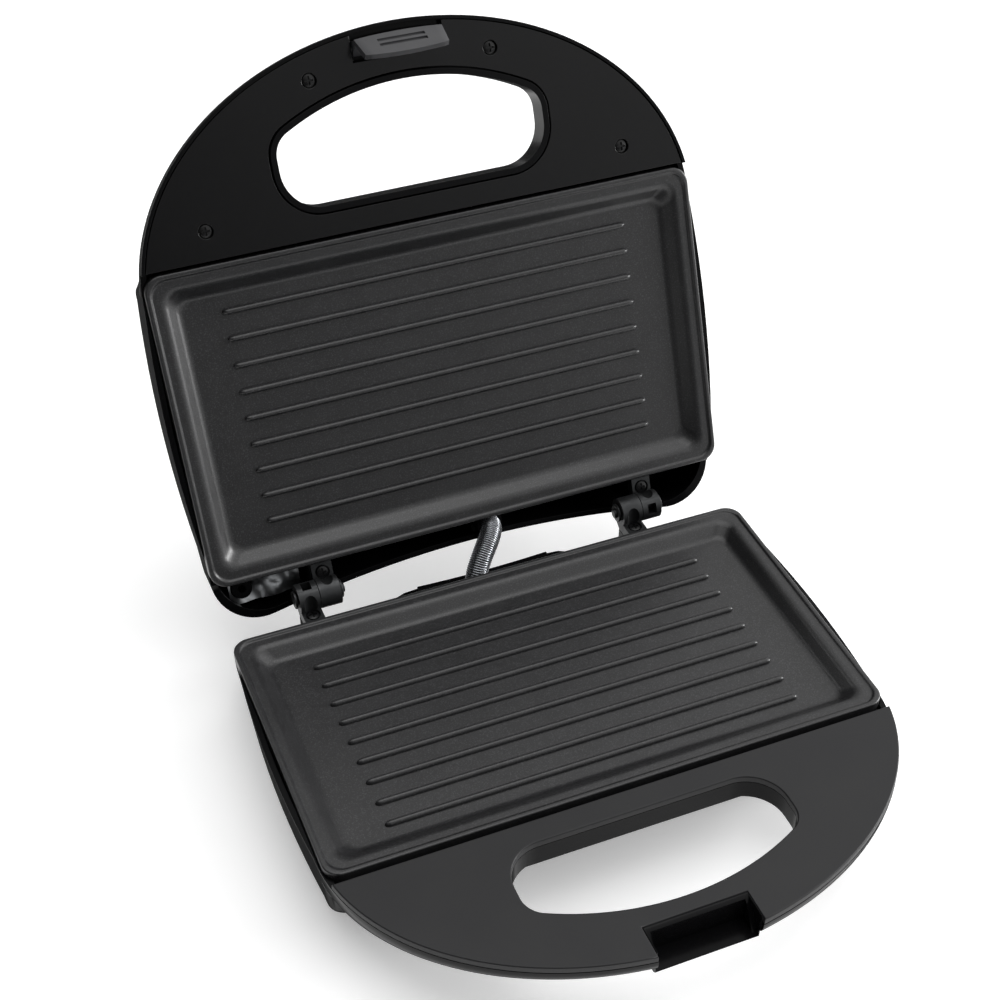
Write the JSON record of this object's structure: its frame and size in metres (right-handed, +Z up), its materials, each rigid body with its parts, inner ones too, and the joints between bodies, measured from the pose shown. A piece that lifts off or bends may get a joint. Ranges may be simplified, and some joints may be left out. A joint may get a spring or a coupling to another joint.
{
  "type": "sandwich maker",
  "caption": "Open electric sandwich maker: hinged D-shaped halves with ribbed grill plates, loop handles, sprung wire conduit and front latch.",
  "frame": {"origin": "on the table under the middle of the bounding box of the open object", "axes": "+X to the right seen from the front, +Y from the front handle towards the hinges, +Z up"},
  "size_m": [0.2366, 0.3094, 0.2404],
  "materials": {
    "casing_black": "gloss",
    "cover_satin_black": "satin",
    "cover_gloss_black": "high gloss",
    "non_stick": "non-stick coating, fine grain",
    "bright_steel": "bright",
    "dark_metal": "dark satin",
    "latch_grey": "satin",
    "rubber": "matte",
    "lens_red": "clear tinted",
    "lens_green": "clear tinted",
    "ceramic_cream": "matte"
  },
  "bodies": {
    "base": {"base_cover_screw_left": "bright_steel", "base_cover_screw_right": "bright_steel", "base_grill_plate": "non_stick", "base_handle_cover": "cover_satin_black", "base_heat_shield": "bright_steel", "base_heating_element": "bright_steel", "base_housing": "casing_black", "base_plate_screw_left": "bright_steel", "base_plate_screw_right": "bright_steel", "conduit_bushing_base": "rubber", "conduit_sleeve": "rubber", "conduit_spring": "bright_steel", "cord_bushing": "rubber", "foot_front_left": "rubber", "foot_front_right": "rubber", "foot_rear_left": "rubber", "foot_rear_right": "rubber", "hinge_arm_base": "dark_metal", "hinge_clip_left": "bright_steel", "hinge_clip_right": "bright_steel", "hinge_knuckle_base": "dark_metal", "hinge_pin_left": "bright_steel", "hinge_pin_right": "bright_steel", "hinge_screw_base_arm": "dark_metal", "hinge_screw_base_knuckle": "dark_metal", "terminal_block": "ceramic_cream", "thermal_fuse": "ceramic_cream", "thermostat": "ceramic_cream"},
    "lid": {"conduit_bushing_lid": "rubber", "hinge_arm_lid": "dark_metal", "hinge_knuckle_lid": "dark_metal", "hinge_screw_lid_arm": "dark_metal", "hinge_screw_lid_knuckle": "dark_metal", "lamp_holder": "ceramic_cream", "lamp_lens_power": "lens_red", "lamp_lens_ready": "lens_green", "latch_pin": "bright_steel", "lid_cover_screw_1": "dark_metal", "lid_cover_screw_2": "dark_metal", "lid_cover_screw_3": "dark_metal", "lid_cover_screw_4": "dark_metal", "lid_grill_plate": "non_stick", "lid_handle_cover": "cover_gloss_black", "lid_heat_shield": "bright_steel", "lid_heating_element": "bright_steel", "lid_housing": "casing_black", "lid_plate_screw_left": "bright_steel", "lid_plate_screw_right": "bright_steel"},
    "latch": {"latch_clip": "latch_grey"}
  },
  "joints": [
    {"name": "lid_hinge", "type": "hinge", "parent": "base", "child": "lid", "pos_m": [0, 0.06101, 0.042], "axis": [1, 0, 0], "range_deg": [0, 113], "deforming": ["conduit_spring", "conduit_sleeve"]},
    {"name": "latch_pivot", "type": "hinge", "parent": "lid", "child": "latch", "pos_m": [0, 0.14816, 0.23097], "axis": [1, 0, 0], "range_deg": [-12, 0]}
  ]
}
